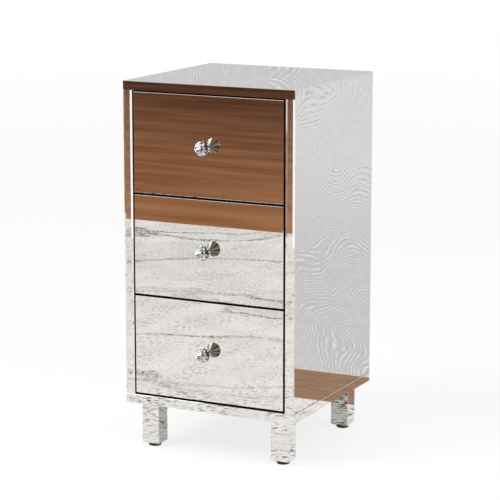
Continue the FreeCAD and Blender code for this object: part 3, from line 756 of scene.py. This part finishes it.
# %% Crystal
crystal, shader, place = start_finish("cut_crystal", IOR=1.62, Transmission_Weight=1.0)
haze = mask(smudges, place, Size=90.0)
tint = mix_colours(noise(place, 160.0, detail=1.0), (0.965, 0.975, 0.975), white)
fill_sockets(shader, Base_Color=tint, Roughness=stretch(haze, (0.0, 1.0), (0.0, 0.03), kind="LINEAR"))
print("crystal:", crystal.name)

# %% Plastic
black_plastic, shader, place = start_finish("black_plastic")
settled = mask(dust, place, Size=700.0, Amount=0.35)
worn = mask(edge_wear, place, Width=0.6 * MM, Breakup=260.0, Amount=0.6)
patch = noise(place, 60.0, detail=3.0)
moulded = mix_colours(patch, (0.012, 0.012, 0.013), (0.022, 0.022, 0.023))
moulded = mix_colours(worn, moulded, (0.07, 0.07, 0.07))
fill_sockets(shader, Base_Color=mix_colours(settled, moulded, (0.18, 0.17, 0.16)),
             Roughness=stretch(patch, (0.3, 0.7), (0.40, 0.54)),
             Normal=bump(noise(place, 1800.0, detail=1.0), 0.03 * MM))
print("feet:", black_plastic.name)

# %% [markdown]
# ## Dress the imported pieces
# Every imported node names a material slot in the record, and each slot has a finish above. Mirror panes also
# need to know which way they face, so that the finish can tell a face from a cut edge: the thinnest side of
# a pane's box says so. The drawer bottoms share the boxes' slot but are one wide panel, with wider grain.

# %% Hand out the finishes
def pane_kind(node):
    if node.endswith("leg_mirrors"):
        return "leg"
    if node.endswith("stile_mirror"):
        return "stile"
    low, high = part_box(node)
    sides = high - low
    thinnest = min(range(3), key=lambda axis: sides[axis])
    return ("side", "across", "flat")[thinnest]


slot_finishes = {"black_board": black_board, "back_board": back_board, "softwood": pine,
                 "drawer_wood": birch_box, "zinc_steel": zinc, "nickel": nickel, "crystal": crystal,
                 "black_plastic": black_plastic}


def finish_for(node, slot):
    if slot == "mirror_glass":
        return mirrors[pane_kind(node)]
    if node.endswith("drawer_bottom"):
        return birch_bottom
    return slot_finishes[slot]


for row in frame["record"]["subparts"]:
    piece = frame["nodes"][row["node"]]
    while len(piece.material_slots) > 1:
        piece.data.materials.pop()
    if not piece.material_slots:
        piece.data.materials.append(None)
    piece.material_slots[0].material = finish_for(row["node"], row["material_slot"])

# %% [markdown]
# ## Trees that grow the small fittings
# Screws, balls, feet and crystals repeat, and each follows a rule, so geometry nodes make them: one tree
# for a shape, with named sizes, run on a bare start mesh that only says where each copy goes. The copies
# are then made real and kept as a plain mesh, because an exported model can't hold instances or modifiers.

# %% Helpers that start and end a tree
def start_tree(name, sizes, counts=()):
    """A geometry tree that takes a start mesh, a finish, named sizes and counts, and gives one shape."""
    tree = bpy.data.node_groups.new(name, "GeometryNodeTree")
    sockets = [("Start", "Geometry"), ("Finish", "Material")]
    sockets += [(label, "Float") for label in sizes] + [(label, "Int") for label in counts]
    for label, kind in sockets:
        tree.interface.new_socket(label, in_out="INPUT", socket_type="NodeSocket" + kind)
    tree.interface.new_socket("Shape", in_out="OUTPUT", socket_type="NodeSocketGeometry")
    return tree, put_node(tree, "NodeGroupInput").outputs


def end_tree(shape, finish):
    real = feed("GeometryNodeRealizeInstances", {"Geometry": shape})
    dressed = feed("GeometryNodeSetMaterial", {"Geometry": real, "Material": finish})
    follow("NodeGroupOutput", {"Shape": dressed})


def start_points(name, places, edges=()):
    mesh = bpy.data.meshes.new(name)
    mesh.from_pydata(places, list(edges), [])
    return mesh


def grow(name, start, tree, sizes, crease=None):
    """Run a tree on a start mesh and keep the result as a plain mesh in an object at the origin."""
    bare = put_in_scene(name + "_start", start)
    grower = bare.modifiers.new("grow", "NODES")
    grower.node_group = tree
    for item in tree.interface.items_tree:
        if item.in_out == "INPUT" and item.name in sizes:
            grower[item.identifier] = sizes[item.name]
    mesh = bpy.data.meshes.new_from_object(bare.evaluated_get(bpy.context.evaluated_depsgraph_get()))
    bpy.data.objects.remove(bare)
    mesh.name = name
    if crease is None:
        mesh.shade_flat()
    else:
        mesh.shade_smooth()
        mesh.set_sharp_from_angle(angle=math.radians(crease))
    return put_in_scene(name, mesh)


print("trees can start, end and grow")

# %% Helpers for shapes in a tree
def vector_of(tree, x, y, z):
    return put_node(tree, "ShaderNodeCombineXYZ", {"X": x, "Y": y, "Z": z}).outputs["Vector"]


def spot_of(tree):
    return parts(put_node(tree, "GeometryNodeInputPosition").outputs["Position"])


def bare_shape(tree, kind, **sizes):
    made = put_node(tree, "GeometryNodeMesh" + kind)
    fill_sockets(made, **sizes)
    return made.outputs["Mesh"]


def join_shapes(*shapes):
    joined = put_node(shapes[0].id_data, "GeometryNodeJoinGeometry")
    for shape in shapes:
        fill_sockets(joined, Geometry=shape)
    return joined.outputs["Geometry"]


def moved(shape, x, y, z):
    values = {"Geometry": shape, "Position": vector_of(shape.id_data, x, y, z)}
    return feed("GeometryNodeSetPosition", values)


def rolled(shape, angle, reach, rise):
    """Move each corner of a shape to an angle round the upright axis, a distance from it and a height."""
    return moved(shape, times(calc("COSINE", angle), reach), times(calc("SINE", angle), reach), rise)


def merged(shape, distance):
    return feed("GeometryNodeMergeByDistance", {"Geometry": shape, "Distance": distance})


def copies_at(points, shape, **values):
    values = {"Points": points, "Instance": shape, **values}
    return feed("GeometryNodeInstanceOnPoints", values)


print("shape helpers ready")

# %% [markdown]
# ## Cut crystal knobs
# Each knob head is a stone with a flat table in front, a crown of facets, a thin girdle and a deep point
# that sits in the cup. It could be cut face by face. A cutter thinks in rings, though: eight corners round
# the table, eight round the crown turned by half a step, sixteen round the girdle and eight at the point.
# The tree draws those rings and stretches the tightest skin over them, and the facets come out by
# themselves.

# %% Build the stone tree
stone_widths = {"Table": 0.50, "Crown": 0.80, "Girdle": 0.999, "Point": 0.255}
stone_depths = {"Depth": 1.0, "Crown Depth": 0.84, "Girdle High": 0.665, "Girdle Low": 0.625}
stone_tree, takes = start_tree("cut_stone", [*stone_widths, *stone_depths, "Girdle Taper"], ["Sides"])


def stone_ring(sides, radius, height, half_step):
    ring = bare_shape(stone_tree, "Circle", Vertices=sides, Radius=radius)
    turn = times(calc("DIVIDE", math.pi, takes["Sides"]), half_step)
    values = {"Geometry": ring, "Translation": vector_of(stone_tree, 0.0, 0.0, height),
              "Rotation": vector_of(stone_tree, 0.0, 0.0, turn)}
    return feed("GeometryNodeTransform", values)


twice = times(takes["Sides"], 2.0)
girdle_back = times(takes["Girdle"], takes["Girdle Taper"])
rings = join_shapes(stone_ring(takes["Sides"], takes["Table"], takes["Depth"], 0.0),
                    stone_ring(takes["Sides"], takes["Crown"], takes["Crown Depth"], 1.0),
                    stone_ring(twice, takes["Girdle"], takes["Girdle High"], 0.5),
                    stone_ring(twice, girdle_back, takes["Girdle Low"], 0.5),
                    stone_ring(takes["Sides"], takes["Point"], 0.0, 0.0))
skin = feed("GeometryNodeConvexHull", {"Geometry": rings})
quarter_turn = math.pi / 2.0
facing_front = (quarter_turn, 0.0, 0.0)
end_tree(copies_at(takes["Start"], skin, Rotation=facing_front), takes["Finish"])
print("stone tree:", len(stone_tree.nodes), "nodes")

# %% Grow the crystals
DRAWERS = ("top", "middle", "bottom")
for drawer in DRAWERS:
    node = drawer + "_knob_crystal"
    low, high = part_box(node)
    radius = (high.x - low.x) / 2.0
    depth = high.y - low.y
    seat = ((low.x + high.x) / 2.0, high.y, (low.z + high.z) / 2.0)
    stone_sizes = {"Sides": 8, "Girdle Taper": 0.965, "Finish": crystal}
    stone_sizes.update({label: share * radius for label, share in stone_widths.items()})
    stone_sizes.update({label: share * depth for label, share in stone_depths.items()})
    piece = grow(drawer + "_knob_stone", start_points("stone_seat", [seat]), stone_tree, stone_sizes)
    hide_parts(node)
    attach(piece, drawer + "_drawer")
print("crystals:", len(DRAWERS), "with", len(piece.data.polygons), "faces each")

# %% [markdown]
# ## Screws with a cross recess
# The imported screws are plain: a head and a smooth shank. Real pan heads are domed and have a cross sunk in
# them for the driver. The tree makes one domed head, takes two crossed bars out of it, adds a shank with a
# point, and sets a copy at each packed screw, which is measured first. A fixed seed turns every cross a
# little differently, as a driver leaves them.

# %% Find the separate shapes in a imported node
fewest_corners = 7


def loose_shapes(node):
    """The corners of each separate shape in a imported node, leaving out stray slivers."""
    work = bmesh.new()
    work.from_mesh(frame["nodes"][node].data)
    bmesh.ops.remove_doubles(work, verts=work.verts, dist=1e-6)
    waiting = dict.fromkeys(work.verts)
    shapes = []
    while waiting:
        shape = [waiting.popitem()[0]]
        for corner in shape:
            for edge in corner.link_edges:
                other = edge.other_vert(corner)
                if other in waiting:
                    del waiting[other]
                    shape.append(other)
        if len(shape) >= fewest_corners:
            shapes.append([corner.co.copy() for corner in shape])
    work.free()
    return shapes


def shape_box(corners):
    low = Vector([min(corner[axis] for corner in corners) for axis in range(3)])
    high = Vector([max(corner[axis] for corner in corners) for axis in range(3)])
    return low, high


print("back panel screws:", len(loose_shapes("back_panel_screws")))

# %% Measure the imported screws
rim_share = 0.9


def measure_screw(corners):
    """Where a screw's head sits, which way it faces, and the sizes of head and shank."""
    low, high = shape_box(corners)
    sides = high - low
    axis = max(range(3), key=lambda index: sides[index])
    middle = (low + high) / 2.0
    rows = []
    for corner in corners:
        off = corner - middle
        off[axis] = 0.0
        rows.append((corner[axis], off.length))
    head_radius = max(radius for along, radius in rows)
    rim = [along for along, radius in rows if radius > rim_share * head_radius]
    faces_up = sum(rim) / len(rim) > middle[axis]
    seat, top, tip = (min(rim), high[axis], low[axis]) if faces_up else (max(rim), low[axis], high[axis])
    shank_radius = max(radius for along, radius in rows
                       if radius < rim_share * head_radius and abs(along - tip) < abs(seat - tip))
    place = middle.copy()
    place[axis] = seat
    aim = Vector((0.0, 0.0, 0.0))
    aim[axis] = 1.0 if faces_up else -1.0
    return {"place": place, "aim": aim, "head_radius": head_radius, "head_height": abs(top - seat),
            "shank_radius": shank_radius, "shank_length": abs(seat - tip)}


sample = measure_screw(loose_shapes("back_panel_screws")[0])
print("a back panel screw:", {name: value for name, value in sample.items() if name != "place"})

# %% Build the head and the shank
screw_sizes = {"Recess Reach": 1.15, "Recess Width": 0.26, "Recess Depth": 0.55, "Dome": 0.55}
screw_tree, takes = start_tree("cross_head_screw", screw_sizes, ["Seed"])
ball = bare_shape(screw_tree, "UVSphere", Segments=20, Rings=10, Radius=1.0)
x, y, z = spot_of(screw_tree)
dome = calc("POWER", calc("MAXIMUM", z, 0.0), takes["Dome"])
head_merge = 0.0001
head = merged(moved(ball, x, y, dome), head_merge)
bar_depth = times(takes["Recess Depth"], 2.0)
bar_size = vector_of(screw_tree, takes["Recess Reach"], takes["Recess Width"], bar_depth)
bar = bare_shape(screw_tree, "Cube", Size=bar_size)
cut_head = follow("GeometryNodeMeshBoolean", {"Mesh 1": head}, operation="DIFFERENCE", solver="EXACT")
for turn in (0.0, quarter_turn):
    values = {"Geometry": bar, "Translation": (0.0, 0.0, 1.0), "Rotation": (0.0, 0.0, turn)}
    fill_socket(cut_head.inputs["Mesh 2"], feed("GeometryNodeTransform", values))

rod = bare_shape(screw_tree, "Cylinder", Vertices=10, Side_Segments=6, Fill_Segments=1,
                 Radius=1.0, Depth=1.0)
x, y, z = spot_of(screw_tree)
taper = stretch(z, (-0.5, -0.35), (0.12, 1.0), kind="LINEAR")
shank = moved(rod, times(x, taper), times(y, taper), minus(z, 0.5))
print("head and shank:", len(screw_tree.nodes), "nodes")

# %% Set a copy at each screw
def carried(name, kind="FLOAT"):
    """A value that each point of the start mesh carries."""
    read = put_node(screw_tree, "GeometryNodeInputNamedAttribute", {"Name": name}, data_type=kind)
    return read.outputs["Attribute"]


facing = feed("FunctionNodeAlignRotationToVector", {"Vector": carried("aim", "FLOAT_VECTOR")}, axis="Z")
turn_range = {2: 0.0, 3: quarter_turn, "Seed": takes["Seed"]}
chance = follow("FunctionNodeRandomValue", turn_range, data_type="FLOAT").outputs[1]
spin = feed("FunctionNodeAxisAngleToRotation", {"Axis": (0.0, 0.0, 1.0), "Angle": chance})
turned = feed("FunctionNodeRotateRotation", {"Rotation": facing, "Rotate By": spin}, rotation_space="LOCAL")
copies = []
for shape, part in ((cut_head.outputs["Mesh"], ("head_radius", "head_height")),
                    (shank, ("shank_radius", "shank_length"))):
    width, length = [carried(name) for name in part]
    copies.append(copies_at(takes["Start"], shape, Rotation=turned,
                            Scale=vector_of(screw_tree, width, width, length)))
end_tree(join_shapes(*copies), takes["Finish"])
print("screw tree:", len(screw_tree.nodes), "nodes")

# %% Grow the screws
screw_nodes = {"base_screws": "case", "back_panel_screws": "case", "slide_cabinet_screws": "case"}
screw_nodes.update({drawer + "_drawer_screws": drawer + "_drawer" for drawer in DRAWERS})
screw_count = 0
for seed, (node, body) in enumerate(screw_nodes.items(), start=1):
    rows = [measure_screw(corners) for corners in loose_shapes(node)]
    start = start_points(node + "_places", [row["place"] for row in rows])
    aims = start.attributes.new("aim", "FLOAT_VECTOR", "POINT")
    for item, row in zip(aims.data, rows):
        item.vector = row["aim"]
    for name in ("head_radius", "head_height", "shank_radius", "shank_length"):
        size = start.attributes.new(name, "FLOAT", "POINT")
        size.data.foreach_set("value", [row[name] for row in rows])
    sizes = {**screw_sizes, "Seed": seed, "Finish": zinc}
    piece = grow(node + "_cross_head", start, screw_tree, sizes, crease=40.0)
    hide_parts(node)
    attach(piece, body)
    screw_count += len(rows)
print("screws:", screw_count)

# %% [markdown]
# ## Balls in the slides
# A drawer slide runs on rows of steel balls, held apart by a thin strip. The strips are in the packed
# model, and the balls are too small to matter there. The tree follows a line along the middle of each strip
# and sets a ball at every step. There are hundreds of them, so each has few faces.

# %% Grow the slide balls
ball_tree, takes = start_tree("ball_row", ["Step", "Ball Radius"])
path = feed("GeometryNodeMeshToCurve", {"Mesh": takes["Start"]})
steps = feed("GeometryNodeResampleCurve", {"Curve": path, "Length": takes["Step"]}, mode="LENGTH")
small_ball = bare_shape(ball_tree, "UVSphere", Segments=8, Rings=6, Radius=takes["Ball Radius"])
end_tree(copies_at(steps, small_ball), takes["Finish"])

strip_thickness = 3.0 * MM
ball_inset = 5.0 * MM
ball_sizes = {"Step": 9.0 * MM, "Ball Radius": 1.45 * MM, "Finish": zinc}
for drawer in DRAWERS:
    places = []
    edges = []
    for corners in loose_shapes(drawer + "_slide_middle_members"):
        low, high = shape_box(corners)
        if high.z - low.z > strip_thickness:
            continue
        middle = (low + high) / 2.0
        places += [(middle.x, low.y + ball_inset, middle.z), (middle.x, high.y - ball_inset, middle.z)]
        edges.append((len(places) - 2, len(places) - 1))
    lines = start_points("ball_lines", places, edges)
    piece = grow(drawer + "_slide_balls", lines, ball_tree, ball_sizes, crease=80.0)
    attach(piece, drawer + "_slide_middle")
print("ball rows on a drawer:", len(edges))

# %% [markdown]
# ## Levelling feet
# Each foot is a moulded pad with ribs round it, so that fingers can turn it, on a threaded stem that runs
# up into the leg. The pad could be lathed and the thread cut by a screw modifier. Both follow a simple
# rule, so a tree bends a plain cylinder into the pad and rolls a plain sheet into the thread, whose ridge
# climbs one step for each turn.

# %% Build the pad tree
pad_tree, takes = start_tree("ribbed_pad", ["Radius", "Height", "Round", "Ribs", "Rib Depth"])
drum = bare_shape(pad_tree, "Cylinder", Vertices=144, Side_Segments=16, Fill_Segments=1,
                  Radius=1.0, Depth=1.0)
x, y, z = spot_of(pad_tree)
rise = times(plus(z, 0.5), takes["Height"])
under = calc("MAXIMUM", minus(takes["Round"], rise), 0.0)
curve = minus(calc("POWER", takes["Round"], 2.0), calc("POWER", under, 2.0))
tuck = minus(takes["Round"], calc("SQRT", calc("MAXIMUM", curve, 0.0)))
angle = calc("ARCTAN2", y, x)
rib = stretch(calc("SINE", times(angle, takes["Ribs"])), (-0.6, 0.6))
share = calc("DIVIDE", rise, takes["Height"])
ribbed = times(stretch(share, (0.36, 0.48)), stretch(share, (0.94, 0.86)))
reach = minus(minus(takes["Radius"], tuck), times(rib, ribbed, takes["Rib Depth"]))
end_tree(copies_at(takes["Start"], rolled(drum, angle, reach, rise)), takes["Finish"])
print("pad tree:", len(pad_tree.nodes), "nodes")

# %% Build the stem tree
stem_tree, takes = start_tree("threaded_stem", ["Radius", "Length", "Pitch", "Thread Depth"])
sheet = bare_shape(stem_tree, "Grid", Size_X=1.0, Size_Y=1.0, Vertices_X=25, Vertices_Y=133)
x, y, z = spot_of(stem_tree)
turn_share = plus(x, 0.5)
rise = times(plus(y, 0.5), takes["Length"])
phase = minus(calc("DIVIDE", rise, takes["Pitch"]), turn_share)
ridge = times(calc("PINGPONG", phase, 0.5), 2.0)
groove = times(minus(1.0, ridge), takes["Thread Depth"])
end_row_y = 0.4999
inside_ends = below(calc("ABSOLUTE", y), end_row_y)
reach = times(minus(takes["Radius"], groove), inside_ends)
stem_merge = 0.001 * MM
stem = merged(rolled(sheet, times(turn_share, 2.0 * math.pi), reach, rise), stem_merge)
end_tree(copies_at(takes["Start"], stem), takes["Finish"])
print("stem tree:", len(stem_tree.nodes), "nodes")

# %% Grow the feet
LEGS = ("front_left", "front_right", "back_left", "back_right")
pad_height = 8.8 * MM
stem_overlap = 0.2 * MM
pad_sizes = {"Height": pad_height, "Round": 3.0 * MM, "Ribs": 36.0, "Rib Depth": 0.5 * MM,
             "Finish": black_plastic}
stem_sizes = {"Radius": 3.0 * MM, "Pitch": 1.0 * MM, "Thread Depth": 0.55 * MM, "Finish": zinc}
for leg in LEGS:
    low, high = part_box(leg + "_foot")
    centre = ((low.x + high.x) / 2.0, (low.y + high.y) / 2.0)
    pad_place = start_points("pad_place", [(*centre, low.z)])
    radius = (high.x - low.x) / 2.0
    piece = grow(leg + "_foot_pad", pad_place, pad_tree, {**pad_sizes, "Radius": radius}, crease=35.0)
    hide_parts(leg + "_foot")
    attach(piece, leg + "_leveller")
    stem_low = low.z + pad_height - stem_overlap
    stem_place = start_points("stem_place", [(*centre, stem_low)])
    length = high.z - stem_low
    piece = grow(leg + "_foot_stem", stem_place, stem_tree, {**stem_sizes, "Length": length}, crease=60.0)
    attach(piece, leg + "_leveller")
print("feet:", len(LEGS), "pads and threaded stems")
